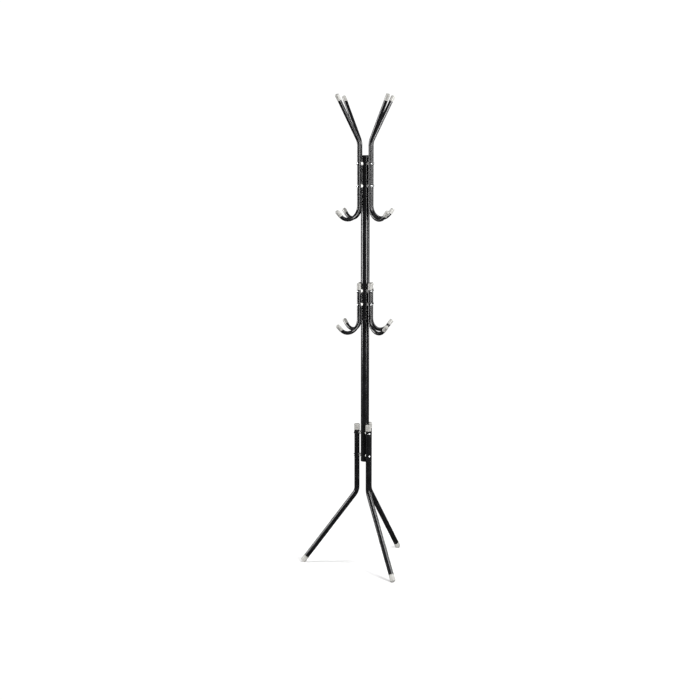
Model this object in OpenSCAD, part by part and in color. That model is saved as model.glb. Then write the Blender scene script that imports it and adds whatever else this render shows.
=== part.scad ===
/* [Whole rack] */
// Height from the floor to the top of the hat hooks' caps
overall_h = 1800; // [1500:5:2200]
// Distance from the pole's axis to where a leg's centre line meets the floor
leg_reach = 246; // [180:1:320]
// How far the arms and hooks are turned on the pole, from +X; the front leg is at -Y
arm_turn = 12; // [0:1:89]

/* [Pole] */
// Outside diameter of the lower pole section
lower_od = 31.8; // [26:0.1:45]
// Wall of the lower pole section
lower_wall = 1; // [0.8:0.05:2]
// Wall of the upper pole section
upper_wall = 0.75; // [0.6:0.05:2]
// Gap all round where the lower section slides inside the upper one
slip_clearance = 0.1; // [0.05:0.01:0.3]
// Length of the lower section that is hidden inside the upper one
slip_len = 40; // [20:1:48]
// Height of the rolled bead that the upper section stands on
bead_h = 1.5; // [1:0.1:3]
// Pole's top below the top of the hat hooks
hat_rise = 221; // [180:1:300]
// Lower hooks' lower screw down to the seam between the pole sections
seam_drop = 58.5; // [55:0.5:120]
// Lower leg screw down to the pole's bottom end
pole_tail = 25.5; // [24:0.5:60]

/* [Plugs in the pole ends] */
// Thickness of a plug's head
plug_head = 2; // [1:0.5:5]
// Length of a plug inside the tube
plug_len = 15; // [8:0.5:16]
// Wall of the plug's hollow stem
plug_wall = 1.5; // [1:0.1:3]
// Rounding of the plug head's rim
plug_round = 0.8; // [0.3:0.1:0.9]

/* [Upper arms] */
// Outside diameter of the arm and hook tubes
arm_od = 14.5; // [12:0.1:20]
// Wall of the arm and hook tubes
arm_wall = 1; // [0.8:0.1:2]
// Pole's top down to the upper arm screw
arm_screw_drop = 31; // [26:0.5:60]
// Distance between an arm's two screws
arm_screw_gap = 82.5; // [50:0.5:120]
// Lower arm screw down to the start of the coat hook's bend
arm_tail = 72; // [20:0.5:150]
// Distance from the pole's axis to the middle of the hat hook's end
hat_reach = 133; // [100:1:170]
// Lean of the hat hook away from upright
hat_angle = 31.3; // [25:0.1:45]
// Bend radius between the upright stretch and the hat hook
hat_bend_r = 50; // [30:1:70]
// Bend radius of the coat hook, to the tube's centre line
coat_bend_r = 50.5; // [35:0.5:70]

/* [Lower hooks] */
// Pole's top down to the upper hook screw
hook_screw_drop = 506; // [400:1:600]
// Distance between a hook's two screws
hook_screw_gap = 50.5; // [30:0.5:90]
// Lower hook screw down to the start of the hook's bend
hook_tail = 55; // [20:0.5:100]
// Bend radius of a lower hook, to the tube's centre line
hook_bend_r = 49; // [35:0.5:70]
// Upper hook screw up to the lower edge of the top cap
hook_cap_gap = 5.5; // [5:0.5:30]

/* [Hook tips] */
// How far round each coat hook's bend goes
j_sweep = 135; // [100:1:175]
// Bare straight tube between that bend and the cap
j_bare = 0.5; // [0.5:0.5:40]

/* [Legs] */
// Outside diameter of the leg tubes
leg_od = 20; // [15:0.1:25]
// Wall of the leg tubes
leg_wall = 1.2; // [0.8:0.1:2]
// Height where the leg's upright and sloping centre lines cross
leg_corner = 294; // [200:1:360]
// Bend radius of a leg, to the tube's centre line
leg_bend_r = 50; // [30:1:90]
// That crossing up to the lower leg screw
leg_rise = 143; // [60:1:250]
// Distance between a leg's two screws
leg_screw_gap = 88.5; // [50:0.5:150]
// Upper leg screw up to the lower edge of the top cap
leg_cap_gap = 11; // [5.5:0.5:40]

/* [Tube caps] */
// Gap all round between a tube and its cap
cap_clearance = 0.1; // [0.05:0.01:0.3]
// Wall of a cap's sleeve
cap_wall = 0.8; // [0.6:0.1:2]
// Thickness of a cap's closed end
cap_end = 2; // [1:0.1:4]
// Rounding of a cap's closed end
cap_round = 3; // [1:0.1:3.5]
// Length of the caps on the arms and hooks
arm_cap_len = 24; // [12:0.5:40]
// Length of the caps on top of the legs
leg_cap_len = 22.5; // [12:0.5:40]
// Length of the foot caps
foot_cap_len = 26; // [18:0.5:50]
// Thickness of a foot cap's closed end
foot_sole = 4; // [3.5:0.1:8]
// Depth of the flat on a foot cap's rim, where it stands on the floor
foot_flat = 1; // [0.5:0.1:1.5]

/* [Spacers and screws] */
// Gap that the spacers keep between the pole and the arms or hooks
spacer_t = 6; // [4:0.1:12]
// Gap that they keep between the pole and the legs
leg_spacer_t = 4.5; // [4:0.1:12]
// Outside diameter of a spacer
spacer_od = 13; // [11.5:0.1:14]
// Depth of the groove that seats the tube in the spacer
spacer_seat = 2; // [0.5:0.1:3]
// Thread diameter of the screws
screw_d = 5; // [4:0.5:6]
// Diameter of the screw heads
screw_head_d = 9.4; // [8.5:0.1:11]
// Height of the screw heads
screw_head_h = 2.8; // [2:0.1:4]
// Rounding of the screw head's rim
screw_head_round = 1.2; // [0.5:0.1:1.8]
// Width of the hex key socket in the head
socket_w = 3; // [2:0.5:4]
// Depth of that socket
socket_h = 1.6; // [1:0.1:1.9]
// Gap all round a screw in the tubes and spacers
screw_clearance = 0.25; // [0.15:0.05:0.5]
// Gap all round a screw in its rivet nut
thread_clearance = 0.05; // [0.01:0.01:0.1]

/* [Rivet nuts in the pole wall] */
// Wall of a rivet nut round its thread
nut_wall = 1; // [0.8:0.1:1.5]
// Width of a rivet nut's flange beyond its body
flange_lip = 1.2; // [0.8:0.1:1.4]
// Thickness of that flange
flange_t = 0.8; // [0.5:0.1:1.2]
// Width of the crimped bulge beyond the body, inside the pole
bulge_lip = 0.9; // [0.5:0.1:1.2]
// Length of the crimped bulge
bulge_len = 3; // [2:0.5:4]
// Length of a rivet nut inside the pole's outer surface
nut_len = 10; // [8:0.5:10]
// Gap all round a rivet nut in its hole, and round its flange
nut_clearance = 0.05; // [0.02:0.01:0.1]

/* [Colours] */
// Paint on the steel tubes
tube_colour = "#101012";
// Tube caps
cap_colour = "#d2d0ca";
// Spacers
spacer_colour = "#f2f2f0";
// Screws
screw_colour = "#c4c6c8";
// Rivet nuts
nut_colour = "#b3a878";
// Plugs in the pole ends
plug_colour = "#18181a";

/* [Hidden] */
$fn = 64;
ARMS = 4;
LEGS = 3;

// Pole
upper_id = lower_od + 2*slip_clearance;
upper_od = upper_id + 2*upper_wall;
pole_top = overall_h - hat_rise;

// Distances from the pole's axis to the upright centre lines
arm_r0 = upper_od/2 + spacer_t + arm_od/2;
leg_r0 = lower_od/2 + leg_spacer_t + leg_od/2;

// Screw heights, upper one first
arm_screws = [pole_top - arm_screw_drop, pole_top - arm_screw_drop - arm_screw_gap];
hook_screws = [pole_top - hook_screw_drop, pole_top - hook_screw_drop - hook_screw_gap];
leg_screws = [leg_corner + leg_rise + leg_screw_gap, leg_corner + leg_rise];

// Heights that follow from the screws
seam_z = hook_screws[1] - seam_drop;
pole_bottom = leg_screws[1] - pole_tail;
coat_bend_z = arm_screws[1] - arm_tail;
hook_bend_z = hook_screws[1] - hook_tail;
hook_top = hook_screws[0] + hook_cap_gap + arm_cap_len;
leg_top = leg_screws[0] + leg_cap_gap + leg_cap_len;

// Caps
arm_cap_r = arm_od/2 + cap_clearance + cap_wall;
leg_cap_r = leg_od/2 + cap_clearance + cap_wall;

// Hat hook: the highest point of its rounded cap is at overall_h
hat_tip_z = overall_h - (arm_cap_r - cap_round)*sin(hat_angle) - cap_round*(1 - cos(hat_angle));
hat_corner_z = hat_tip_z - (hat_reach - arm_r0)/tan(hat_angle);
hat_tangent = hat_bend_r*tan(hat_angle/2);
hat_bend_z = hat_corner_z - hat_tangent;
hat_slope_len = (hat_reach - arm_r0)/sin(hat_angle) - hat_tangent;
arm_upright = hat_bend_z - coat_bend_z;

// Leg: its lean follows from the reach and the height of the bend
leg_angle = atan((leg_reach - leg_r0)/leg_corner);
leg_tangent = leg_bend_r*tan(leg_angle/2);
leg_bend_z = leg_corner + leg_tangent;

// Foot cap: its closed end, as the rim's flat is on the floor
foot_end_z = (leg_cap_r - cap_round)*sin(leg_angle) + cap_round*(1 - cos(leg_angle)) - foot_flat;
foot_end_r = leg_reach - foot_end_z*tan(leg_angle);
leg_slope_len = (leg_corner - foot_end_z)/cos(leg_angle) - leg_tangent - foot_sole;

// Fasteners
nut_od = screw_d + 2*thread_clearance + 2*nut_wall;
eps = 0.01;
// How far a straight stretch runs into a bend, and how much thicker a bend's wall is
// on each side: together they make the stretches one tube
weld = 0.3;
swell = 0.05;

function arm_at(i) = arm_turn + (i - 1)*360/ARMS;
function leg_at(i) = 270 + (i - 1)*360/LEGS;

// ---- Shapes that several pieces share ----

module ring(od, wall) {
    difference() {
        circle(d = od);
        circle(d = od - 2*wall);
    }
}

// A straight tube upwards from the origin
module straight(od, wall, len) {
    linear_extrude(len) ring(od, wall);
}

// One that runs a little way into the bends at its ends
module straight_between(od, wall, len, below, above) {
    translate([0, 0, -below*weld]) straight(od, wall, len + (below + above)*weld);
}

// A tube bend in the XZ plane, round the origin, from one angle to another. Its wall
// is swollen a hair both ways, so that the straight stretches end inside the metal
module bend(od, wall, bend_r, from, to) {
    rotate([90, 0, 0]) rotate([0, 0, from])
        rotate_extrude(angle = to - from, $fn = 128)
            translate([bend_r, 0]) ring(od + 2*swell, wall + 2*swell);
}

// Turns a thing drawn along +Z to point away from the pole at a height
module outwards(angle, z) {
    rotate([0, 0, angle]) translate([0, 0, z]) rotate([0, 90, 0]) children();
}

// Draws along +Z what follows a bend that starts downwards at the origin and turns towards +X
module after_bend(bend_r, sweep) {
    translate([bend_r, 0, 0]) rotate([0, 180 - sweep, 0])
        translate([bend_r, 0, 0]) children();
}

// Such a bend, and the straight stretch after it
module bend_down(od, wall, bend_r, sweep, len) {
    translate([bend_r, 0, 0]) bend(od, wall, bend_r, 180, 180 + sweep);
    after_bend(bend_r, sweep) straight_between(od, wall, len, 1, 0);
}

// The J of an arm or hook, from the end of its upright stretch
module j_hook(bend_r) {
    bend_down(arm_od, arm_wall, bend_r, j_sweep, j_bare + arm_cap_len - cap_end);
}

// The cap on the end of a J
module j_cap(bend_r) {
    after_bend(bend_r, j_sweep) translate([0, 0, j_bare + arm_cap_len])
        cap(arm_od, arm_cap_len);
}

// A sleeve cap with a rounded closed end at the origin, its mouth downwards
module cap(tube_od, len, end = cap_end) {
    r = tube_od/2 + cap_clearance + cap_wall;
    translate([0, 0, -len]) rotate_extrude() difference() {
        union() {
            square([r, len - cap_round]);
            square([r - cap_round, len]);
            translate([r - cap_round, len - cap_round]) circle(cap_round);
        }
        square([tube_od/2 + cap_clearance, len - end]);
    }
}

// Clears a screw's way through both walls of a tube
module screw_way(tube_r0, tube_od, heights) {
    for (z = heights)
        translate([tube_r0 - tube_od, 0, z]) rotate([0, 90, 0])
            cylinder(d = screw_d + 2*screw_clearance, h = 2*tube_od);
}

// Clears the rivet nuts' holes in one wall of the pole
module nut_way(pole_od, angles, heights) {
    for (a = angles, z = heights)
        outwards(a, z) translate([0, 0, pole_od/4])
            cylinder(d = nut_od + 2*nut_clearance, h = pole_od/2);
}

// One plug head with its hollow stem, head upwards, its top at the origin
module plug(tube_od, tube_id) {
    head_r = tube_od/2;
    stem_r = tube_id/2 - slip_clearance;
    rotate_extrude() {
        translate([0, -plug_head]) square([head_r, plug_head - plug_round]);
        translate([0, -plug_head]) square([head_r - plug_round, plug_head]);
        translate([head_r - plug_round, -plug_round]) circle(plug_round);
        translate([stem_r - plug_wall, -plug_head - plug_len])
            square([plug_wall, plug_len + eps]);
    }
}

// A spacer from the pole's surface to the tube, which sits in its groove
module spacer(pole_od, tube_r0, tube_od, angle, z) {
    difference() {
        outwards(angle, z) difference() {
            cylinder(d = spacer_od, h = tube_r0 - tube_od/2 + spacer_seat);
            translate([0, 0, -eps])
                cylinder(d = screw_d + 2*screw_clearance, h = tube_r0);
            cylinder(d = nut_od + 2*flange_lip + 2*nut_clearance,
                     h = pole_od/2 + flange_t + nut_clearance);
        }
        translate([0, 0, z - spacer_od]) cylinder(d = pole_od, h = 2*spacer_od);
        rotate([0, 0, angle]) translate([tube_r0, 0, z - spacer_od])
            cylinder(d = tube_od, h = 2*spacer_od);
    }
}

// A screw from the tube's outer side down to the end of its rivet nut
module screw(pole_od, tube_r0, tube_od, angle, z) {
    tip = pole_od/2 - nut_len;
    seat = tube_r0 + tube_od/2;
    outwards(angle, z) {
        translate([0, 0, tip]) cylinder(d = screw_d, h = seat - tip + eps);
        translate([0, 0, seat]) difference() {
            rotate_extrude() {
                square([screw_head_d/2, screw_head_h - screw_head_round]);
                square([screw_head_d/2 - screw_head_round, screw_head_h]);
                translate([screw_head_d/2 - screw_head_round, screw_head_h - screw_head_round])
                    circle(screw_head_round);
            }
            translate([0, 0, screw_head_h - socket_h])
                cylinder(d = socket_w/cos(30), h = socket_h + eps, $fn = 6);
        }
    }
}

// A rivet nut: flange formed to the pole outside, crimped bulge inside
module rivet_nut(pole_od, wall, angle, z) {
    inner_r = pole_od/2 - wall;
    bulge_r = nut_od/2 + bulge_lip;
    bulge_top = sqrt(pow(inner_r, 2) - pow(bulge_r, 2)) - nut_clearance;
    difference() {
        union() {
            difference() {
                outwards(angle, z) translate([0, 0, inner_r])
                    cylinder(d = nut_od + 2*flange_lip, h = wall + flange_t);
                translate([0, 0, z - spacer_od]) cylinder(d = pole_od, h = 2*spacer_od);
            }
            outwards(angle, z) {
                translate([0, 0, pole_od/2 - nut_len])
                    cylinder(d = nut_od, h = nut_len + flange_t/2);
                translate([0, 0, bulge_top - bulge_len])
                    cylinder(r = bulge_r, h = bulge_len);
            }
        }
        outwards(angle, z) cylinder(d = screw_d + 2*thread_clearance, h = pole_od);
    }
}

// ---- The pieces ----

// Upper pole section: carries the arms and the lower hooks
module pole_upper() {
    color(tube_colour) difference() {
        translate([0, 0, seam_z])
            straight(upper_od, upper_wall, pole_top - plug_head - seam_z);
        nut_way(upper_od, [for (i = [1:ARMS]) arm_at(i)], concat(arm_screws, hook_screws));
    }
}

// Lower pole section: slides up inside the upper one, which stands on its bead
module pole_lower() {
    bottom = pole_bottom + plug_head;
    color(tube_colour) {
        difference() {
            translate([0, 0, bottom])
                straight(lower_od, lower_wall, seam_z + slip_len - bottom);
            nut_way(lower_od, [for (i = [1:LEGS]) leg_at(i)], leg_screws);
        }
        translate([0, 0, seam_z - bead_h]) rotate_extrude() {
            translate([lower_od/2 - lower_wall/2, 0])
                square([upper_od/2 - bead_h/2 - lower_od/2 + lower_wall/2, bead_h]);
            translate([upper_od/2 - bead_h/2, bead_h/2]) circle(d = bead_h);
        }
    }
}

module pole_top_plug() {
    color(plug_colour) translate([0, 0, pole_top]) plug(upper_od, upper_id);
}

module pole_bottom_plug() {
    color(plug_colour) translate([0, 0, pole_bottom]) mirror([0, 0, 1])
        plug(lower_od, lower_od - 2*lower_wall);
}

// Upper arm: hat hook at the top, upright stretch on the pole, coat hook below
module upper_arm(i) {
    color(tube_colour) rotate([0, 0, arm_at(i)]) difference() {
        translate([arm_r0, 0, coat_bend_z]) {
            straight_between(arm_od, arm_wall, arm_upright, 1, 1);
            translate([hat_bend_r, 0, arm_upright]) {
                bend(arm_od, arm_wall, hat_bend_r, 180 - hat_angle, 180);
                rotate([0, hat_angle, 0]) translate([-hat_bend_r, 0, 0])
                    straight_between(arm_od, arm_wall, hat_slope_len - cap_end, 1, 0);
            }
            j_hook(coat_bend_r);
        }
        screw_way(arm_r0, arm_od, arm_screws);
    }
}

// Lower hook: a short upright stretch with a J below
module lower_hook(i) {
    color(tube_colour) rotate([0, 0, arm_at(i)]) difference() {
        translate([arm_r0, 0, hook_bend_z]) {
            straight_between(arm_od, arm_wall, hook_top - cap_end - hook_bend_z, 1, 0);
            j_hook(hook_bend_r);
        }
        screw_way(arm_r0, arm_od, hook_screws);
    }
}

// Leg: upright stretch on the pole, then out and down to the floor
module leg(i) {
    color(tube_colour) rotate([0, 0, leg_at(i)]) difference() {
        translate([leg_r0, 0, leg_bend_z]) {
            straight_between(leg_od, leg_wall, leg_top - cap_end - leg_bend_z, 1, 0);
            bend_down(leg_od, leg_wall, leg_bend_r, leg_angle, leg_slope_len);
        }
        screw_way(leg_r0, leg_od, leg_screws);
    }
}

module hat_cap(i) {
    color(cap_colour) rotate([0, 0, arm_at(i)])
        translate([hat_reach, 0, hat_tip_z]) rotate([0, hat_angle, 0])
            cap(arm_od, arm_cap_len);
}

module coat_cap(i) {
    color(cap_colour) rotate([0, 0, arm_at(i)])
        translate([arm_r0, 0, coat_bend_z]) j_cap(coat_bend_r);
}

module hook_top_cap(i) {
    color(cap_colour) rotate([0, 0, arm_at(i)])
        translate([arm_r0, 0, hook_top]) cap(arm_od, arm_cap_len);
}

module hook_tip_cap(i) {
    color(cap_colour) rotate([0, 0, arm_at(i)])
        translate([arm_r0, 0, hook_bend_z]) j_cap(hook_bend_r);
}

module leg_top_cap(i) {
    color(cap_colour) rotate([0, 0, leg_at(i)])
        translate([leg_r0, 0, leg_top]) cap(leg_od, leg_cap_len);
}

// Foot cap: a sleeve along the leg, its rim cut flat where it stands on the floor
module foot_cap(i) {
    color(cap_colour) rotate([0, 0, leg_at(i)]) difference() {
        translate([foot_end_r, 0, foot_end_z]) rotate([0, 180 - leg_angle, 0])
            cap(leg_od, foot_cap_len, foot_sole);
        translate([foot_end_r - 2*leg_od, -2*leg_od, -4*leg_od]) cube(4*leg_od);
    }
}

module arm_spacers(i) {
    color(spacer_colour) for (z = arm_screws) spacer(upper_od, arm_r0, arm_od, arm_at(i), z);
}

module hook_spacers(i) {
    color(spacer_colour) for (z = hook_screws) spacer(upper_od, arm_r0, arm_od, arm_at(i), z);
}

module leg_spacers(i) {
    color(spacer_colour) for (z = leg_screws) spacer(lower_od, leg_r0, leg_od, leg_at(i), z);
}

module arm_screw_pair(i) {
    color(screw_colour) for (z = arm_screws) screw(upper_od, arm_r0, arm_od, arm_at(i), z);
}

module hook_screw_pair(i) {
    color(screw_colour) for (z = hook_screws) screw(upper_od, arm_r0, arm_od, arm_at(i), z);
}

module leg_screw_pair(i) {
    color(screw_colour) for (z = leg_screws) screw(lower_od, leg_r0, leg_od, leg_at(i), z);
}

module rivet_nuts() {
    color(nut_colour) {
        for (i = [1:ARMS], z = concat(arm_screws, hook_screws))
            rivet_nut(upper_od, upper_wall, arm_at(i), z);
        for (i = [1:LEGS], z = leg_screws)
            rivet_nut(lower_od, lower_wall, leg_at(i), z);
    }
}

pole_upper();
pole_lower();
pole_top_plug();
pole_bottom_plug();
upper_arm(1);  // upper_arm_1
upper_arm(2);  // upper_arm_2
upper_arm(3);  // upper_arm_3
upper_arm(4);  // upper_arm_4
lower_hook(1);  // lower_hook_1
lower_hook(2);  // lower_hook_2
lower_hook(3);  // lower_hook_3
lower_hook(4);  // lower_hook_4
leg(1);  // leg_1
leg(2);  // leg_2
leg(3);  // leg_3
hat_cap(1);  // hat_cap_1
hat_cap(2);  // hat_cap_2
hat_cap(3);  // hat_cap_3
hat_cap(4);  // hat_cap_4
coat_cap(1);  // coat_cap_1
coat_cap(2);  // coat_cap_2
coat_cap(3);  // coat_cap_3
coat_cap(4);  // coat_cap_4
hook_top_cap(1);  // hook_top_cap_1
hook_top_cap(2);  // hook_top_cap_2
hook_top_cap(3);  // hook_top_cap_3
hook_top_cap(4);  // hook_top_cap_4
hook_tip_cap(1);  // hook_tip_cap_1
hook_tip_cap(2);  // hook_tip_cap_2
hook_tip_cap(3);  // hook_tip_cap_3
hook_tip_cap(4);  // hook_tip_cap_4
leg_top_cap(1);  // leg_top_cap_1
leg_top_cap(2);  // leg_top_cap_2
leg_top_cap(3);  // leg_top_cap_3
foot_cap(1);  // foot_cap_1
foot_cap(2);  // foot_cap_2
foot_cap(3);  // foot_cap_3
arm_spacers(1);  // arm_spacers_1
arm_spacers(2);  // arm_spacers_2
arm_spacers(3);  // arm_spacers_3
arm_spacers(4);  // arm_spacers_4
hook_spacers(1);  // hook_spacers_1
hook_spacers(2);  // hook_spacers_2
hook_spacers(3);  // hook_spacers_3
hook_spacers(4);  // hook_spacers_4
leg_spacers(1);  // leg_spacers_1
leg_spacers(2);  // leg_spacers_2
leg_spacers(3);  // leg_spacers_3
arm_screw_pair(1);  // arm_screw_pair_1
arm_screw_pair(2);  // arm_screw_pair_2
arm_screw_pair(3);  // arm_screw_pair_3
arm_screw_pair(4);  // arm_screw_pair_4
hook_screw_pair(1);  // hook_screw_pair_1
hook_screw_pair(2);  // hook_screw_pair_2
hook_screw_pair(3);  // hook_screw_pair_3
hook_screw_pair(4);  // hook_screw_pair_4
leg_screw_pair(1);  // leg_screw_pair_1
leg_screw_pair(2);  // leg_screw_pair_2
leg_screw_pair(3);  // leg_screw_pair_3
rivet_nuts();
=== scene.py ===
import math

import bmesh
import bpy
from mathutils import Matrix, Vector


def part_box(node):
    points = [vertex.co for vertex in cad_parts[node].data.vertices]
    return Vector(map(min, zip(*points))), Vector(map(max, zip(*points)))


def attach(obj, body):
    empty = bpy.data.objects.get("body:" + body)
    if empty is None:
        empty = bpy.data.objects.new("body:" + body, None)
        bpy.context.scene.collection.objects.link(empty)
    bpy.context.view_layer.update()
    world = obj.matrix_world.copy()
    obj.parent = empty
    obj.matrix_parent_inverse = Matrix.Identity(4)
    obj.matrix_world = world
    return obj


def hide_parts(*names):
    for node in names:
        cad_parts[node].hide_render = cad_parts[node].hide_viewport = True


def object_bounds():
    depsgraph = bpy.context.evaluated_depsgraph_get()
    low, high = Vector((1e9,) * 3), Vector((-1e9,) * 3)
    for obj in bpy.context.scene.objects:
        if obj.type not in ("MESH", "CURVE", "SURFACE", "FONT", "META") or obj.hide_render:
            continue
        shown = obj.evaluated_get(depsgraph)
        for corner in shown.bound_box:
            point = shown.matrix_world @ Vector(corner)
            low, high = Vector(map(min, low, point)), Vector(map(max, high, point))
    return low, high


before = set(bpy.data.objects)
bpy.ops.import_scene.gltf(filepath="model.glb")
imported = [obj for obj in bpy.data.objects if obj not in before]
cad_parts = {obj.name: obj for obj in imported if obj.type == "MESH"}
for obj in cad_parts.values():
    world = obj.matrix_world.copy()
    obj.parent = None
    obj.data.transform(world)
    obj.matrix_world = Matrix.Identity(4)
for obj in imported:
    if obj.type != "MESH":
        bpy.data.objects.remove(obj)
cad_low, cad_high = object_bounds()

# ---- The view ----
# The rack is seen from a little left of its front leg, from just above the pole's top, so
# the feet are looked down on and the hat hooks are seen from the side.

VIEW_AZIMUTH = -26.06
VIEW_DISTANCE = 4.737
VIEW_HEIGHT = 1.618
VIEW_YAW = 0.692
VIEW_PITCH = 9.26
VIEW_LENS = 64.84
FILM_WIDTH = 36

turn = math.radians(VIEW_AZIMUTH)
camera = bpy.data.objects.new("camera", bpy.data.cameras.new("camera"))
camera.data.lens = VIEW_LENS
camera.data.sensor_width = FILM_WIDTH
camera.location = (VIEW_DISTANCE * math.sin(turn), -VIEW_DISTANCE * math.cos(turn), VIEW_HEIGHT)
camera.rotation_euler = (math.radians(90 - VIEW_PITCH), 0, turn + math.radians(VIEW_YAW))
bpy.context.scene.collection.objects.link(camera)
bpy.context.scene.camera = camera
bpy.context.scene.view_settings.view_transform = "Standard"

# ---- The floor ----
# A wide, smooth, matt white studio floor that fades into the white behind it.
# It is only something for the rack to stand on, and isn't part of it.


class Wire:
    """A socket in a node tree, or the bare tree. Sums on sockets add Math nodes."""

    def __init__(self, tree, socket=None):
        self.tree, self.socket = tree, socket

    def node(self, kind, settings=None, inputs=None, output=0):
        """Adds a node: its settings first, then the values or wires of its sockets."""
        made = self.tree.nodes.new(kind)
        for name, value in (settings or {}).items():
            setattr(made, name, value)
        for name, value in (inputs or {}).items():
            if isinstance(value, Wire):
                self.tree.links.new(value.socket, made.inputs[name])
            else:
                made.inputs[name].default_value = value
        return Wire(self.tree, made.outputs[output] if made.outputs else None)

    def sum(self, operation, *values):
        return self.node("ShaderNodeMath", {"operation": operation}, dict(enumerate(values)))

    def __add__(self, other):
        return self.sum("ADD", self, other)

    def __sub__(self, other):
        return self.sum("SUBTRACT", self, other)

    def __rsub__(self, other):
        return self.sum("SUBTRACT", other, self)

    def __mul__(self, other):
        return self.sum("MULTIPLY", self, other)

    __radd__ = __add__
    __rmul__ = __mul__


def empty_tree(block):
    """The cleared node tree of a new material or world."""
    block.use_nodes = True
    block.node_tree.nodes.clear()
    return Wire(block.node_tree)


def noise(tree, where, scale, detail=2.0):
    """Noise from 0 to 1, so many features to the metre."""
    return tree.node("ShaderNodeTexNoise", None,
                     {"Vector": where, "Scale": scale, "Detail": detail})


def ramp(tree, value, low, high):
    """0 below low, 1 above high, and a smooth rise between them."""
    return tree.node("ShaderNodeMapRange", {"interpolation_type": "SMOOTHSTEP"},
                     {"Value": value, "From Min": low, "From Max": high})


def colours(tree, amount, first, second):
    """A mix of two colours, each a triple or a wire."""
    first, second = [c if isinstance(c, Wire) else (*c, 1) for c in (first, second)]
    return tree.node("ShaderNodeMix", {"data_type": "RGBA"}, {0: amount, 6: first, 7: second}, 2)


def surface(tree, **sockets):
    """The Principled shader and the output that end a material."""
    inputs = {name.replace("_", " "): value for name, value in sockets.items()}
    shader = tree.node("ShaderNodeBsdfPrincipled", None, inputs)
    tree.node("ShaderNodeOutputMaterial", None, {"Surface": shader})


ON_AXIS = 1e-7


def turned(outline, around=96):
    """The rings of a turned shape from its (radius, height) points."""
    turns = [2 * math.pi * k / around for k in range(around)]
    return [[Vector((r * math.cos(a), r * math.sin(a), z)) for a in turns] if r > ON_AXIS
            else [Vector((0, 0, z))] for r, z in outline]


def skin(name, stacks, material, loop=False, wear=None):
    """One smooth mesh over stacks of rings, each of like rings or single points.
    With loop, a stack's last ring joins its first. wear(point) says how rubbed it is.
    The attribute "own" holds the points as they are before the piece is moved."""
    points, faces = [], []
    for rings in stacks:
        starts = []
        for ring in rings:
            starts.append(len(points))
            points.extend(ring)
        pairs = [(k, k + 1) for k in range(len(rings) - 1)]
        if loop:
            pairs.append((len(rings) - 1, 0))
        for low, high in pairs:
            a, b = starts[low], starts[high]
            count = max(len(rings[low]), len(rings[high]))
            for k in range(count):
                n = (k + 1) % count
                if len(rings[low]) == 1:
                    faces.append((a, b + n, b + k))
                elif len(rings[high]) == 1:
                    faces.append((a + k, a + n, b))
                else:
                    faces.append((a + k, a + n, b + n, b + k))
    mesh = bpy.data.meshes.new(name)
    mesh.from_pydata(points, [], faces)
    shell = bmesh.new()
    shell.from_mesh(mesh)
    bmesh.ops.recalc_face_normals(shell, faces=shell.faces)
    shell.to_mesh(mesh)
    shell.free()
    mesh.shade_smooth()
    own = mesh.attributes.new("own", "FLOAT_VECTOR", "POINT")
    for spot, point in zip(own.data, points):
        spot.vector = point
    if wear:
        rub = mesh.attributes.new("wear", "FLOAT", "POINT")
        for spot, point in zip(rub.data, points):
            spot.value = wear(point)
    mesh.materials.append(material)
    piece = bpy.data.objects.new(name, mesh)
    bpy.context.scene.collection.objects.link(piece)
    return piece


FLOOR_RINGS = (0, 0.1, 0.2, 0.3, 0.4, 0.5, 0.6)
FLOOR_WHITE = (0.93, 0.93, 0.93)
FLOOR_MOTTLE = (0.91, 0.91, 0.91)

floor_paint = bpy.data.materials.new("pale_floor")
tree = empty_tree(floor_paint)
where = tree.node("ShaderNodeTexCoord", None, None, "Object")
surface(tree, Base_Color=colours(tree, noise(tree, where, 0.8), FLOOR_WHITE, FLOOR_MOTTLE),
        Roughness=0.9, Specular_IOR_Level=0.1)
floor = skin("floor", [turned([(r, 0) for r in FLOOR_RINGS])], floor_paint)
# Black tubes would mirror a white floor as grey
floor.visible_glossy = False

# ---- The light ----
# Soft studio light. A broad overhead light whitens the floor and lays faint shadows under
# the legs. Tall soft boxes round the rack draw the bright stripes down its tubes.

SURROUND = 0.05
BACKDROP = 1.05
OVERHEAD = 1.0
OVERHEAD_SPREAD = 70
WHITE = (1, 1, 1, 1)
# Name, direction round the rack, distance, height, panel width and height, power
SOFT_BOXES = (
    ("left_softbox", -112, 2.8, 1.65, 0.9, 2.4, 105),
    ("front_softbox", 12, 3.2, 1.65, 0.8, 2.4, 92),
    ("right_softbox", 86, 2.8, 1.65, 0.6, 2.4, 36),
    ("high_softbox", 28, 2.2, 2.5, 0.9, 0.9, 46),
)
AIM_HEIGHT = 1.65

world = bpy.data.worlds.new("studio")
sky = empty_tree(world)
seen = sky.node("ShaderNodeLightPath", None, None, "Is Camera Ray")
fill = sky.node("ShaderNodeBackground", None, {"Color": WHITE, "Strength": SURROUND})
backdrop = sky.node("ShaderNodeBackground", None, {"Color": WHITE, "Strength": BACKDROP})
shown = sky.node("ShaderNodeMixShader", None, {0: seen, 1: fill, 2: backdrop})
sky.node("ShaderNodeOutputWorld", None, {"Surface": shown})
bpy.context.scene.world = world

overhead = bpy.data.objects.new("overhead_light", bpy.data.lights.new("overhead", "SUN"))
overhead.data.energy = OVERHEAD
overhead.data.angle = math.radians(OVERHEAD_SPREAD)
overhead.visible_glossy = False
bpy.context.scene.collection.objects.link(overhead)

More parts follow.
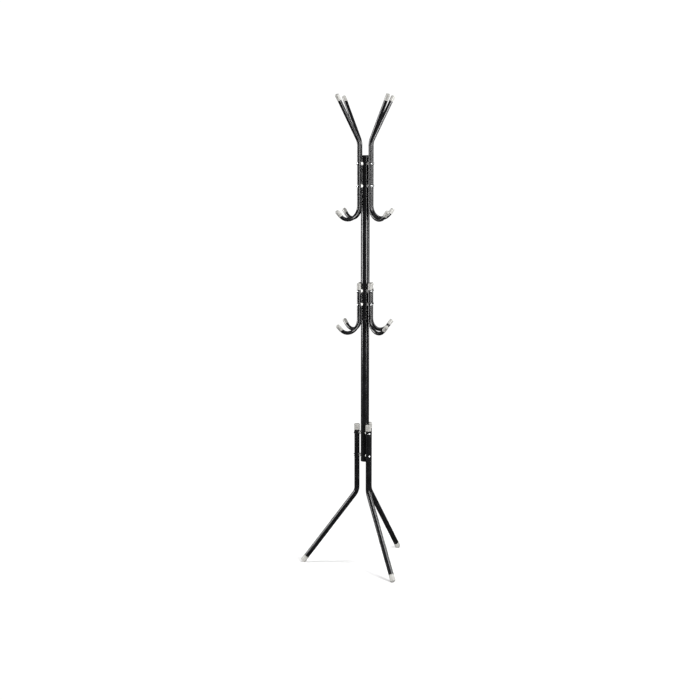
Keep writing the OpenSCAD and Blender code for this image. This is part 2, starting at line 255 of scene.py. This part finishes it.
for name, direction, away, up, wide, high, watts in SOFT_BOXES:
    box = bpy.data.objects.new(name, bpy.data.lights.new(name, "AREA"))
    box.data.shape = "RECTANGLE"
    box.data.size, box.data.size_y, box.data.energy = wide, high, watts
    angle = math.radians(direction)
    box.location = (away * math.sin(angle), -away * math.cos(angle), up)
    aim = Vector((0, 0, min(up, AIM_HEIGHT)))
    box.rotation_euler = (aim - box.location).to_track_quat("-Z", "Y").to_euler()
    box.visible_camera = False
    bpy.context.scene.collection.objects.link(box)

# ---- The pole, lower section ----
# A steel tube, 31.8 mm across, powder coated gloss black inside and out. A bead rolled
# round it stops the upper section, which slides down over its top end.

POLE_WALL = 0.001
BEAD_HEIGHT = 0.0015
RIM_ROUND = 0.0003
BEAD_ROUND = BEAD_HEIGHT * 0.45
POLE_STEP = 0.02
RUB_REACH = 0.004

PAINT_BLACK = (0.0045, 0.0045, 0.005)
PAINT_BLOOM = (0.010, 0.010, 0.0115)
PAINT_RUBBED = (0.045, 0.045, 0.048)


FLAT_GUARD = 0.15


def rounded(corners, closed=False, steps=5):
    """Outline points from (radius, height, rounding) corners, with a point close beside
    each rounding so that the flats next to it stay flat in the light."""
    points = []
    for k, (x, z, size) in enumerate(corners):
        here = Vector((x, 0, z))
        if not size or (not closed and k in (0, len(corners) - 1)):
            points.append((x, z))
            continue
        back = (Vector((corners[k - 1][0], 0, corners[k - 1][1])) - here).normalized()
        ahead = corners[(k + 1) % len(corners)]
        on = (Vector((ahead[0], 0, ahead[1])) - here).normalized()
        half = back.angle(on) / 2
        reach = size / math.tan(half)
        centre = here + (back + on).normalized() * size / math.sin(half)
        first = (here + back * reach - centre).normalized()
        last = (here + on * reach - centre).normalized()
        arc = [centre + first.slerp(last, s / steps) * size for s in range(steps + 1)]
        arc = [arc[0] + back * size * FLAT_GUARD] + arc + [arc[-1] + on * size * FLAT_GUARD]
        points.extend((p.x, p.z) for p in arc)
    return points


def finer(outline, step):
    """The same outline with its long stretches cut into steps."""
    points = []
    for (x0, z0), (x1, z1) in zip(outline, outline[1:] + outline[:1]):
        cuts = max(1, math.ceil(math.hypot(x1 - x0, z1 - z0) / step))
        points.extend((x0 + (x1 - x0) * c / cuts, z0 + (z1 - z0) * c / cuts)
                      for c in range(cuts))
    return points


def place(piece, node, angle=0.0):
    """Turns a piece round the pole, and puts it in place of its CAD node."""
    piece.data.transform(Matrix.Rotation(math.radians(angle), 4, "Z"))
    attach(piece, "root")
    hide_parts(node)


def gloss_black(name):
    """Gloss black powder coat: deep black, a faint orange peel, a thin bloom of dust, and
    a duller grey where it is rubbed."""
    material = bpy.data.materials.new(name)
    tree = empty_tree(material)
    where = tree.node("ShaderNodeTexCoord", None, None, "Object")
    lot = tree.node("ShaderNodeObjectInfo", None, None, "Random")
    spot = tree.node("ShaderNodeVectorMath", {"operation": "ADD"}, {0: where, 1: lot})
    rub = tree.node("ShaderNodeAttribute", {"attribute_name": "wear"}, None, "Fac")
    bloom = noise(tree, spot, 40, 4.0)
    scuff = noise(tree, spot, 900, 3.0)
    worn = ramp(tree, rub * 0.8 + scuff * 0.35, 0.6, 0.95)
    specks = ramp(tree, noise(tree, spot, 2600, 1.0), 0.70, 0.78)
    peel = noise(tree, spot, 380, 1.5)
    black = colours(tree, ramp(tree, bloom, 0.35, 0.75), PAINT_BLACK, PAINT_BLOOM)
    dusted = colours(tree, specks * 0.25, black, PAINT_RUBBED)
    bump = tree.node("ShaderNodeBump", None,
                     {"Strength": 0.02, "Distance": 0.00005, "Height": peel + scuff * worn * 0.5})
    surface(tree, Base_Color=colours(tree, worn, dusted, PAINT_RUBBED),
            Roughness=bloom * 0.04 + worn * 0.2 + specks * 0.08 + 0.19,
            Normal=bump, IOR=1.5, Coat_Weight=0.1, Coat_Roughness=0.1)
    return material


paint = gloss_black("gloss_black_powder_coat")

low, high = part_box("pole_lower")
plug_low, plug_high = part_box("pole_bottom_plug")
lower_radius = (plug_high.x - plug_low.x) / 2
bead_radius = (high.x - low.x) / 2
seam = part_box("pole_upper")[0].z

outline = rounded([
    (lower_radius, low.z, RIM_ROUND),
    (lower_radius, seam - BEAD_HEIGHT, RIM_ROUND),
    (bead_radius, seam - BEAD_HEIGHT, BEAD_ROUND),
    (bead_radius, seam, BEAD_ROUND),
    (lower_radius, seam, RIM_ROUND),
    (lower_radius, high.z, RIM_ROUND),
    (lower_radius - POLE_WALL, high.z, RIM_ROUND),
    (lower_radius - POLE_WALL, low.z, RIM_ROUND),
], closed=True)


def seam_wear(point):
    """Rubbed where the sections were pushed together, and at the pole's bottom rim."""
    return max(1 - abs(point.z - seam) / RUB_REACH, 0.8 - (point.z - low.z) / RUB_REACH, 0)


piece = skin("lower_pole", [turned(finer(outline, POLE_STEP))], paint, loop=True, wear=seam_wear)
place(piece, "pole_lower")

# ---- The pole, upper section ----
# A steel tube, 33.5 mm across, in the same gloss black. It stands on the lower section's
# bead, and the arms and the lower hooks are screwed to it.

UPPER_WALL = 0.00075
CUT_RUB = 0.003

low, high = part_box("pole_upper")
upper_radius = (high.x - low.x) / 2
outline = rounded([
    (upper_radius, low.z, RIM_ROUND),
    (upper_radius, high.z, RIM_ROUND),
    (upper_radius - UPPER_WALL, high.z, RIM_ROUND),
    (upper_radius - UPPER_WALL, low.z, RIM_ROUND),
], closed=True)


def rim_wear(point):
    """Rubbed at both cut ends of the tube."""
    return max(1 - (point.z - seam) / CUT_RUB, 0.8 - (high.z - point.z) / RUB_REACH, 0)


piece = skin("upper_pole", [turned(finer(outline, POLE_STEP))], paint, loop=True, wear=rim_wear)
place(piece, "pole_upper")

# ---- The plugs in the pole's ends ----
# Push-in plugs of black polypropylene, one at each end of the pole: a domed head that
# covers the tube's rim, on a short hollow stem.

PLUG_HEAD = 0.002
PLUG_STEM = 0.015
PLUG_WALL = 0.0015
PLUG_DOME = 0.0006
PLUG_ROUND = 0.0008
PLUG_CORNER = 0.0002
PLUG_NOSE = 0.0005
PLUG_SLACK = 0.0002
PLUG_BLACK = (0.012, 0.012, 0.013)
PLUG_GREY = (0.035, 0.035, 0.037)


def moulded_black(name):
    """Black polypropylene with a fine spark-eroded grain, a little paler where handled."""
    material = bpy.data.materials.new(name)
    tree = empty_tree(material)
    where = tree.node("ShaderNodeTexCoord", None, None, "Object")
    grain = noise(tree, where, 3200, 2.0)
    handled = noise(tree, where, 120, 3.0)
    bump = tree.node("ShaderNodeBump", None,
                     {"Strength": 0.35, "Distance": 0.0001, "Height": grain})
    surface(tree, Base_Color=colours(tree, ramp(tree, handled, 0.4, 0.8), PLUG_BLACK, PLUG_GREY),
            Roughness=handled * 0.2 + 0.32, Normal=bump, IOR=1.49)
    return material


plug_plastic = moulded_black("moulded_black_plastic")

for name, node, radius, wall, upwards in (
        ("top_plug", "pole_top_plug", upper_radius, UPPER_WALL, 1),
        ("bottom_plug", "pole_bottom_plug", lower_radius, POLE_WALL, -1)):
    low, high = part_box(node)
    face = high.z if upwards > 0 else low.z
    stem = radius - wall - PLUG_SLACK
    outline = rounded([
        (0, 0, 0),
        (radius * 0.55, -PLUG_DOME * 0.3, radius * 0.3),
        (radius, -PLUG_DOME, PLUG_ROUND),
        (radius, -PLUG_HEAD, PLUG_CORNER),
        (stem, -PLUG_HEAD, PLUG_CORNER),
        (stem, -PLUG_HEAD - PLUG_STEM, PLUG_NOSE),
        (stem - PLUG_WALL, -PLUG_HEAD - PLUG_STEM, RIM_ROUND),
        (stem - PLUG_WALL, -PLUG_HEAD, RIM_ROUND),
        (0, -PLUG_HEAD, 0),
    ])
    outline = [(r, face + upwards * z) for r, z in outline]
    piece = skin(name, [turned(outline)], plug_plastic)
    place(piece, node)

# ---- The four upper arms ----
# Each is one steel tube, 14.5 mm across, bent cold: a hat hook leaning out at the top, an
# upright stretch screwed to the pole, and a coat hook turned up below. Gloss black.

ARM_TURN = 12.0
ARM_ANGLES = [ARM_TURN + 90 * k for k in range(4)]
SPACER_GAP = 0.006
ARM_RADIUS = 0.00725
ARM_WALL = 0.001
HAT_REACH = 0.133
HAT_LEAN = 31.3
HAT_BEND = 0.050
COAT_BEND = 0.0505
J_SWEEP = 135.0
J_BARE = 0.0005
CAP_END = 0.002
CAP_GAP = 0.0001
CAP_WALL = 0.0008
CAP_ROUND = 0.003
ARM_CAP = 0.024
ARM_SCREW_DROP = 0.031
ARM_SCREW_GAP = 0.0825
ARM_TAIL = 0.072

TUBE_STEP = 0.012
BEND_STEP = 3.0
TUBE_AROUND = 40
BEND_SQUASH = 0.03
BEND_SPREAD = 0.008
BORE_SHOWN = 0.008

CAP_RUB = 0.7
SCREW_RUB = 0.8
HANG_RUB = 0.75
HEAD_EDGE = 0.0055
HEAD_FADE = 0.002
HANG_DEPTH = 0.03


def heading_of(lean):
    """The way along a tube in the XZ plane: 0 is up, 90 outwards, 180 down."""
    return Vector((math.sin(math.radians(lean)), 0, math.cos(math.radians(lean))))


def inside_of(lean):
    """The side that a bend's centre is on."""
    return Vector((-math.cos(math.radians(lean)), 0, math.sin(math.radians(lean))))


def tube_run(start, lean, moves):
    """Stations along a tube: (centre, lean, how far into a bend). A move is a length, or
    a bend's (radius, sweep), which turns from down towards outwards and up."""
    here = start.copy()
    stations = [(here.copy(), lean, 0.0)]
    for move in moves:
        if isinstance(move, tuple):
            radius, sweep = move
            centre = here + inside_of(lean) * radius
            steps = math.ceil(sweep / BEND_STEP)
            for s in range(1, steps + 1):
                leaning = lean - sweep * s / steps
                ease = math.sin(math.pi * s / steps) ** 0.5 if s < steps else 0.0
                stations.append((centre - inside_of(leaning) * radius, leaning, ease))
            lean -= sweep
            here = stations[-1][0].copy()
        else:
            steps = math.ceil(move / TUBE_STEP)
            for s in range(1, steps + 1):
                stations.append((here + heading_of(lean) * move * s / steps, lean, 0.0))
            here = stations[-1][0].copy()
    return stations


def bent_tube(stations, radius, wall):
    """Rings along the stations, with open, deburred ends. A bend squashes the tube a
    little towards its inside and spreads it sideways, as a bending die does."""
    turns = [2 * math.pi * k / TUBE_AROUND for k in range(TUBE_AROUND)]

    def ring(centre, lean, size, squash=0.0):
        inner = inside_of(lean)
        tall = size * (1 - BEND_SQUASH * squash)
        wide = size * (1 + BEND_SPREAD * squash)
        return [centre + inner * tall * math.cos(a) + Vector((0, wide * math.sin(a), 0))
                for a in turns]

    def mouth(centre, lean, inwards):
        along = heading_of(lean) * inwards
        return [[centre + along * BORE_SHOWN],
                ring(centre + along * BORE_SHOWN, lean, radius - wall),
                ring(centre + along * RIM_ROUND, lean, radius - wall),
                ring(centre, lean, radius - wall * 0.75),
                ring(centre, lean, radius - RIM_ROUND),
                ring(centre + along * RIM_ROUND, lean, radius)]

    first, last = stations[0], stations[-1]
    body = [ring(c, lean, radius, squash) for c, lean, squash in stations[1:-1]]
    return mouth(first[0], first[1], 1) + body + mouth(last[0], last[1], -1)[::-1]


def near(value, edge, reach):
    """1 at an edge, falling to 0 a reach away."""
    return max(0.0, 1 - abs(value - edge) / reach)


def screw_rub(point, heights, axis):
    """Rubbed round the screws' heads, on the outer side of a tube with such an axis."""
    rub = max(near(math.hypot(point.z - z, point.y), HEAD_EDGE, HEAD_FADE) for z in heights)
    return SCREW_RUB * rub * (point.x > axis)


def hang_rub(point, bend, bend_z):
    """Rubbed in the bottom of a hook's bend, where things hang."""
    hook = Vector((arm_axis + bend, 0, bend_z))
    rub = near((point - hook).length, bend - ARM_RADIUS, RUB_REACH)
    return HANG_RUB * rub * (point.z < bend_z - HANG_DEPTH)


arm_axis = upper_radius + SPACER_GAP + ARM_RADIUS
arm_cap_radius = ARM_RADIUS + CAP_GAP + CAP_WALL
pole_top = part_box("pole_top_plug")[1].z
arm_screws = (pole_top - ARM_SCREW_DROP, pole_top - ARM_SCREW_DROP - ARM_SCREW_GAP)
coat_bend_z = arm_screws[1] - ARM_TAIL
lean = math.radians(HAT_LEAN)
hat_tip_z = (cad_high.z - (arm_cap_radius - CAP_ROUND) * math.sin(lean)
             - CAP_ROUND * (1 - math.cos(lean)))
hat_corner_z = hat_tip_z - (HAT_REACH - arm_axis) / math.tan(lean)
hat_tangent = HAT_BEND * math.tan(lean / 2)
hat_slope = (HAT_REACH - arm_axis) / math.sin(lean) - hat_tangent
hat_bend_z = hat_corner_z - hat_tangent
hat_tip = Vector((HAT_REACH, 0, hat_tip_z))
j_straight = J_BARE + ARM_CAP - CAP_END

arm_run = tube_run(hat_tip - heading_of(HAT_LEAN) * CAP_END, 180 + HAT_LEAN, [
    hat_slope - CAP_END,
    (HAT_BEND, HAT_LEAN),
    hat_bend_z - coat_bend_z,
    (COAT_BEND, J_SWEEP),
    j_straight,
])


def arm_wear(point):
    """Rubbed at the caps' mouths, round the screws, and in the hooks where things hang."""
    cap_mouth = near((point - hat_tip).length, ARM_CAP, RUB_REACH)
    return max(CAP_RUB * cap_mouth, screw_rub(point, arm_screws, arm_axis),
               hang_rub(point, COAT_BEND, coat_bend_z))


for k, angle in enumerate(ARM_ANGLES, 1):
    piece = skin(f"bent_arm_{k}", [bent_tube(arm_run, ARM_RADIUS, ARM_WALL)], paint,
                 wear=arm_wear)
    place(piece, f"upper_arm_{k}", angle)

# ---- The four lower hooks ----
# The same tube, cut shorter: an upright stretch screwed to the pole, one under each arm,
# and a slightly tighter hook turned up below.

HOOK_BEND = 0.049
HOOK_SCREW_DROP = 0.506
HOOK_SCREW_GAP = 0.0505
HOOK_TAIL = 0.055
HOOK_CAP_GAP = 0.0055

hook_screws = (pole_top - HOOK_SCREW_DROP, pole_top - HOOK_SCREW_DROP - HOOK_SCREW_GAP)
hook_bend_z = hook_screws[1] - HOOK_TAIL
hook_top = Vector((arm_axis, 0, hook_screws[0] + HOOK_CAP_GAP + ARM_CAP))

hook_run = tube_run(hook_top - Vector((0, 0, CAP_END)), 180, [
    hook_top.z - CAP_END - hook_bend_z,
    (HOOK_BEND, J_SWEEP),
    j_straight,
])


def hook_wear(point):
    """Rubbed at the top cap's mouth, round the screws, and in the hook."""
    cap_mouth = near(point.z, hook_top.z - ARM_CAP, CUT_RUB)
    return max(CAP_RUB * cap_mouth, screw_rub(point, hook_screws, arm_axis),
               hang_rub(point, HOOK_BEND, hook_bend_z))


for k, angle in enumerate(ARM_ANGLES, 1):
    piece = skin(f"bent_hook_{k}", [bent_tube(hook_run, ARM_RADIUS, ARM_WALL)], paint,
                 wear=hook_wear)
    place(piece, f"lower_hook_{k}", angle)

# ---- The three legs ----
# Steel tube, 20 mm across: an upright stretch screwed to the lower pole section, then
# one bend outwards and a long straight stretch down to the floor.

LEG_ANGLES = (270.0, 30.0, 150.0)
LEG_RADIUS = 0.010
LEG_WALL = 0.0012
LEG_REACH = 0.246
LEG_CORNER = 0.294
LEG_BEND = 0.050
LEG_RISE = 0.143
LEG_SCREW_GAP = 0.0885
LEG_CAP_GAP = 0.011
LEG_CAP = 0.0225
LEG_SPACER_GAP = 0.0045
FOOT_CAP = 0.026
FOOT_SOLE = 0.004
FOOT_FLAT = 0.001
KICK_RUB = 0.65
KICK_HEIGHT = 0.03
KICK_FADE = 0.02

leg_axis = lower_radius + LEG_SPACER_GAP + LEG_RADIUS
leg_screws = (LEG_CORNER + LEG_RISE + LEG_SCREW_GAP, LEG_CORNER + LEG_RISE)
leg_top = Vector((leg_axis, 0, leg_screws[0] + LEG_CAP_GAP + LEG_CAP))
leg_slant = math.atan((LEG_REACH - leg_axis) / LEG_CORNER)
leg_tangent = LEG_BEND * math.tan(leg_slant / 2)
leg_bend_z = LEG_CORNER + leg_tangent
foot_rim = LEG_RADIUS + CAP_GAP + CAP_WALL - CAP_ROUND
foot_rise = (foot_rim * math.sin(leg_slant) + CAP_ROUND * (1 - math.cos(leg_slant))
             - FOOT_FLAT)
foot_tip = Vector((LEG_REACH - foot_rise * math.tan(leg_slant), 0, foot_rise))

leg_run = tube_run(leg_top - Vector((0, 0, CAP_END)), 180, [
    leg_top.z - CAP_END - leg_bend_z,
    (LEG_BEND, math.degrees(leg_slant)),
    (LEG_CORNER - foot_rise) / math.cos(leg_slant) - leg_tangent - FOOT_SOLE,
])


def leg_wear(point):
    """Rubbed at the top cap's mouth, round the screws and just above the foot."""
    cap_mouth = near(point.z, leg_top.z - LEG_CAP, CUT_RUB)
    return max(CAP_RUB * cap_mouth, screw_rub(point, leg_screws, leg_axis),
               KICK_RUB * near(point.z, KICK_HEIGHT, KICK_FADE))


for k, angle in enumerate(LEG_ANGLES, 1):
    piece = skin(f"bent_leg_{k}", [bent_tube(leg_run, LEG_RADIUS, LEG_WALL)], paint,
                 wear=leg_wear)
    place(piece, f"leg_{k}", angle)

# ---- The tube caps ----
# Pale grey polyethylene sleeves with a rounded closed end, pushed over the tubes' ends:
# on the hat hooks, the coat hooks, and both ends of the lower hooks and of the legs.

CAP_RIM = 0.0016
CAP_STEP = 0.0002
GATE_RADIUS = 0.0013
GATE_DEPTH = 0.0002
GATE_BEVEL = 0.0002
GATE_ROUND = 0.0001
CAP_EDGE = 0.0002
CAP_CUT = 0.004
CAP_END_GRIME = 0.5
CAP_END_FADE = 0.0015
PARTING_HALF = 0.00008
PARTING_EDGE = 0.0002
CAP_GREY = (0.43, 0.425, 0.405)
CAP_SHADE = (0.37, 0.363, 0.343)
CAP_DIRT = (0.20, 0.19, 0.175)


def moulded_grey(name):
    """Pale grey polyethylene: soft sheen, fine grain, a parting line along both sides,
    faint cloudiness, and grime where the attribute says that it is rubbed."""
    material = bpy.data.materials.new(name)
    tree = empty_tree(material)
    where = tree.node("ShaderNodeAttribute", {"attribute_name": "own"}, None, "Vector")
    lot = tree.node("ShaderNodeObjectInfo", None, None, "Random")
    spot = tree.node("ShaderNodeVectorMath", {"operation": "ADD"}, {0: where, 1: lot})
    rub = tree.node("ShaderNodeAttribute", {"attribute_name": "wear"}, None, "Fac")
    across = tree.node("ShaderNodeSeparateXYZ", None, {0: where}, "Y")
    cloud = noise(tree, spot, 90, 3.0)
    grain = noise(tree, spot, 2400, 2.0)
    smear = noise(tree, spot, 500, 4.0)
    parting = 1 - ramp(tree, across.sum("ABSOLUTE", across), PARTING_HALF, PARTING_EDGE)
    grime = ramp(tree, rub * 0.7 + smear * 0.6, 0.65, 1.05)
    bump = tree.node("ShaderNodeBump", None,
                     {"Strength": 0.3, "Distance": 0.0001, "Height": grain * 0.5 + parting})
    grey = colours(tree, ramp(tree, cloud, 0.35, 0.7), CAP_GREY, CAP_SHADE)
    surface(tree, Base_Color=colours(tree, grime * 0.6, grey, CAP_DIRT),
            Roughness=cloud * 0.12 + grime * 0.2 + 0.27, Normal=bump, IOR=1.51)
    return material


cap_plastic = moulded_grey("moulded_grey_plastic")


def cap_outline(tube_radius, length):
    """A cap's outline, its closed end at height 0 and its mouth below."""
    bore = tube_radius + CAP_GAP
    outer = bore + CAP_WALL
    return rounded([
        (0, -GATE_DEPTH, 0),
        (GATE_RADIUS, -GATE_DEPTH, GATE_ROUND),
        (GATE_RADIUS + GATE_BEVEL, 0, GATE_ROUND),
        (outer - CAP_STEP, 0, CAP_ROUND - CAP_STEP),
        (outer - CAP_STEP, -length + CAP_RIM, CAP_EDGE),
        (outer, -length + CAP_RIM - CAP_STEP, CAP_EDGE),
        (outer, -length, RIM_ROUND),
        (bore, -length, RIM_ROUND),
        (bore, -CAP_END, RIM_ROUND),
        (0, -CAP_END, 0),
    ], steps=7)


def cap_wear(point):
    """Grimy at the mouth and a little at the closed end's rim."""
    return max(near(point.z, -ARM_CAP, CUT_RUB), CAP_END_GRIME * near(point.z, 0, CAP_END_FADE))


def tube_cap(name, node, tube_radius, length, tip, lean, angle):
    """A cap with its closed end at a tip in an arm's plane, on a tube that leans so.
    A foot's rim is flat where it is on the floor."""
    outline = finer(cap_outline(tube_radius, length), CAP_CUT)
    piece = skin(name, [turned(outline, 64)], cap_plastic, wear=cap_wear)
    piece.data.transform(Matrix.Translation(tip) @ Matrix.Rotation(math.radians(lean), 4, "Y"))
    for corner in piece.data.vertices:
        corner.co.z = max(corner.co.z, 0)
    place(piece, node, angle)


def j_tip(bend_z, bend):
    """The closed end of the cap on a hook's tip."""
    lean = 180 - J_SWEEP
    centre = Vector((arm_axis + bend, 0, bend_z))
    return centre - inside_of(lean) * bend + heading_of(lean) * (J_BARE + ARM_CAP)


for k, angle in enumerate(ARM_ANGLES, 1):
    for name, node, tip, tilt in (
            ("hat_hook_cap", "hat_cap", hat_tip, HAT_LEAN),
            ("coat_hook_cap", "coat_cap", j_tip(coat_bend_z, COAT_BEND), 180 - J_SWEEP),
            ("lower_hook_top_cap", "hook_top_cap", hook_top, 0),
            ("lower_hook_tip_cap", "hook_tip_cap", j_tip(hook_bend_z, HOOK_BEND),
             180 - J_SWEEP)):
        tube_cap(f"{name}_{k}", f"{node}_{k}", ARM_RADIUS, ARM_CAP, tip, tilt, angle)
foot_lean = 180 - math.degrees(leg_slant)
for k, angle in enumerate(LEG_ANGLES, 1):
    tube_cap(f"leg_head_cap_{k}", f"leg_top_cap_{k}", LEG_RADIUS, LEG_CAP, leg_top, 0, angle)
    tube_cap(f"foot_sleeve_{k}", f"foot_cap_{k}", LEG_RADIUS, FOOT_CAP, foot_tip, foot_lean, angle)

# ---- The spacers ----
# Short round blocks of white nylon between the pole and each tube, one for each screw.
# The inner end is hollowed to fit the pole, and the outer end has a groove for the tube.

SPACER_RADIUS = 0.0065
SPACER_SEAT = 0.002
SPACER_ROUND = 0.0005
SPACER_BORE = 0.00275
ROUND_STEPS = 4
FLANGE_RADIUS = 0.0048
FLANGE = 0.00085
SPACER_WHITE = (0.84, 0.84, 0.82)
SPACER_CREAM = (0.74, 0.735, 0.70)


def moulded_white(name):
    """White nylon: a soft sheen, slight yellowing in patches and a fine grain."""
    material = bpy.data.materials.new(name)
    tree = empty_tree(material)
    where = tree.node("ShaderNodeTexCoord", None, None, "Object")
    patch = noise(tree, where, 160, 3.0)
    grain = noise(tree, where, 3000, 2.0)
    bump = tree.node("ShaderNodeBump", None,
                     {"Strength": 0.25, "Distance": 0.0001, "Height": grain})
    surface(tree,
            Base_Color=colours(tree, ramp(tree, patch, 0.4, 0.75), SPACER_WHITE, SPACER_CREAM),
            Roughness=patch * 0.15 + 0.3, Normal=bump, IOR=1.53)
    return material


nylon = moulded_white("moulded_white_nylon")


def spacer_rings(pole_radius, tube_axis, tube_radius, around=72):
    """A spacer pointing out along +X from the pole's axis at height 0."""
    turns = [2 * math.pi * k / around for k in range(around)]

    def inner(across):
        return math.sqrt(pole_radius ** 2 - across ** 2)

    def outer(across):
        flat = tube_axis - tube_radius + SPACER_SEAT
        if abs(across) >= tube_radius:
            return flat
        return min(flat, tube_axis - math.sqrt(tube_radius ** 2 - across ** 2))

    def ring(radius, end, inset=0.0):
        points = []
        for a in turns:
            across, up = radius * math.cos(a), radius * math.sin(a)
            points.append(Vector((end(across) + inset, across, up)))
        return points

    def counterbore(across):
        return max(inner(across), pole_radius + FLANGE)

    quarter = [math.pi / 2 * s / ROUND_STEPS for s in range(ROUND_STEPS + 1)]
    rounds = [(SPACER_ROUND * (1 - math.cos(a)), SPACER_ROUND * (1 - math.sin(a)))
              for a in quarter]
    rings = [ring(SPACER_BORE, counterbore), ring(FLANGE_RADIUS, counterbore),
             ring(FLANGE_RADIUS, inner), ring(SPACER_RADIUS - 2 * SPACER_ROUND, inner)]
    rings += [ring(SPACER_RADIUS - pull, inner, push) for push, pull in rounds]
    rings += [ring(SPACER_RADIUS - pull, outer, -push) for push, pull in reversed(rounds)]
    rings += [ring(SPACER_RADIUS - 2 * SPACER_ROUND, outer),
              ring((SPACER_RADIUS + SPACER_BORE) / 2, outer), ring(SPACER_BORE, outer)]
    return rings


def lifted(rings, height):
    """The same rings, moved up."""
    return [[point + Vector((0, 0, height)) for point in ring] for ring in rings]


arm_spacer = spacer_rings(upper_radius, arm_axis, ARM_RADIUS)
leg_spacer = spacer_rings(lower_radius, leg_axis, LEG_RADIUS)
for name, node, rings, heights, angles in (
        ("arm_spacer_pair", "arm_spacers", arm_spacer, arm_screws, ARM_ANGLES),
        ("hook_spacer_pair", "hook_spacers", arm_spacer, hook_screws, ARM_ANGLES),
        ("leg_spacer_pair", "leg_spacers", leg_spacer, leg_screws, LEG_ANGLES)):
    for k, angle in enumerate(angles, 1):
        piece = skin(f"{name}_{k}", [lifted(rings, z) for z in heights], nylon, loop=True)
        place(piece, f"{node}_{k}", angle)

# ---- The screws ----
# M5 button-head screws with a hex socket, bright zinc plated: through both walls of the
# tube and the spacer, into a rivet nut in the pole.

SCREW_RADIUS = 0.0025
HEAD_RADIUS = 0.0047
HEAD_HEIGHT = 0.0028
HEAD_RIM = 0.0009
SOCKET_WIDTH = 0.003
SOCKET_DEPTH = 0.0016
SOCKET_MOUTH = 0.0021
SOCKET_FLOOR = 0.0012
SOCKET_TIP = 0.0003
SCREW_POINT = 0.0005
NECK = 0.0002
HEAD_BEVEL = 0.0003
FINE_EDGE = 0.0001
DOME_STEPS = 8
NUT_LENGTH = 0.010
ZINC = (0.66, 0.67, 0.68)
ZINC_DULL = (0.50, 0.51, 0.51)


def bright_zinc(name):
    """Bright zinc plate: metal with fine turning marks and duller patches."""
    material = bpy.data.materials.new(name)
    tree = empty_tree(material)
    where = tree.node("ShaderNodeTexCoord", None, None, "Object")
    patch = noise(tree, where, 400, 3.0)
    marks = noise(tree, where, 5000, 1.0)
    bump = tree.node("ShaderNodeBump", None,
                     {"Strength": 0.2, "Distance": 0.00005, "Height": marks})
    surface(tree, Base_Color=colours(tree, ramp(tree, patch, 0.4, 0.7), ZINC, ZINC_DULL),
            Metallic=1.0, Roughness=patch * 0.2 + 0.17, Normal=bump)
    return material


zinc = bright_zinc("bright_zinc_plate")


def screw_rings(pole_radius, seat, around=48):
    """A screw along +X at height 0, its head's flat underside at the seat."""
    turns = [2 * math.pi * k / around for k in range(around)]

    def ring(out, radius, hexagon=0.0):
        points = []
        for a in turns:
            flat = (a + math.pi / 6) % (math.pi / 3) - math.pi / 6
            size = radius * (1 - hexagon) + hexagon * SOCKET_WIDTH / 2 / math.cos(flat)
            points.append(Vector((seat + out, size * math.cos(a), size * math.sin(a))))
        return points

    tip = pole_radius - NUT_LENGTH - seat
    floor_at = HEAD_HEIGHT - SOCKET_DEPTH
    rings = [[Vector((seat + tip, 0, 0))], ring(tip, SCREW_RADIUS - SCREW_POINT),
             ring(tip + SCREW_POINT, SCREW_RADIUS), ring(-NECK, SCREW_RADIUS),
             ring(0, SCREW_RADIUS + FINE_EDGE), ring(0, HEAD_RADIUS - HEAD_BEVEL),
             ring(NECK, HEAD_RADIUS), ring(HEAD_RIM, HEAD_RADIUS)]
    for s in range(1, DOME_STEPS + 1):
        inwards = s / DOME_STEPS
        radius = HEAD_RADIUS + (SOCKET_MOUTH - HEAD_RADIUS) * inwards
        rise = math.sqrt(1 - (1 - inwards) ** 2)
        rings.append(ring(HEAD_RIM + (HEAD_HEIGHT - HEAD_RIM) * rise, radius))
    rings += [ring(HEAD_HEIGHT, SOCKET_MOUTH - FINE_EDGE),
              ring(HEAD_HEIGHT - FINE_EDGE, 0, 1.0),
              ring(floor_at + FINE_EDGE, 0, 1.0),
              ring(floor_at, SOCKET_FLOOR),
              [Vector((seat + floor_at - SOCKET_TIP, 0, 0))]]
    return rings


arm_screw = screw_rings(upper_radius, arm_axis + ARM_RADIUS)
leg_screw = screw_rings(lower_radius, leg_axis + LEG_RADIUS)
for name, node, rings, heights, angles in (
        ("arm_bolts", "arm_screw_pair", arm_screw, arm_screws, ARM_ANGLES),
        ("hook_bolts", "hook_screw_pair", arm_screw, hook_screws, ARM_ANGLES),
        ("leg_bolts", "leg_screw_pair", leg_screw, leg_screws, LEG_ANGLES)):
    for k, angle in enumerate(angles, 1):
        piece = skin(f"{name}_{k}", [lifted(rings, z) for z in heights], zinc)
        place(piece, f"{node}_{k}", angle)

# ---- The rivet nuts ----
# Blind rivet nuts of yellow passivated steel, crimped into the pole's wall, one for each
# screw. The spacers cover their flanges.

YELLOW_ZINC = (0.52, 0.45, 0.24)
YELLOW_DULL = (0.36, 0.33, 0.22)

passivated = bpy.data.materials.new("yellow_passivated_steel")
tree = empty_tree(passivated)
where = tree.node("ShaderNodeTexCoord", None, None, "Object")
patch = noise(tree, where, 300, 3.0)
surface(tree, Base_Color=colours(tree, patch, YELLOW_ZINC, YELLOW_DULL), Metallic=1.0,
        Roughness=patch * 0.2 + 0.25)
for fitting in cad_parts["rivet_nuts"].material_slots:
    fitting.material = passivated
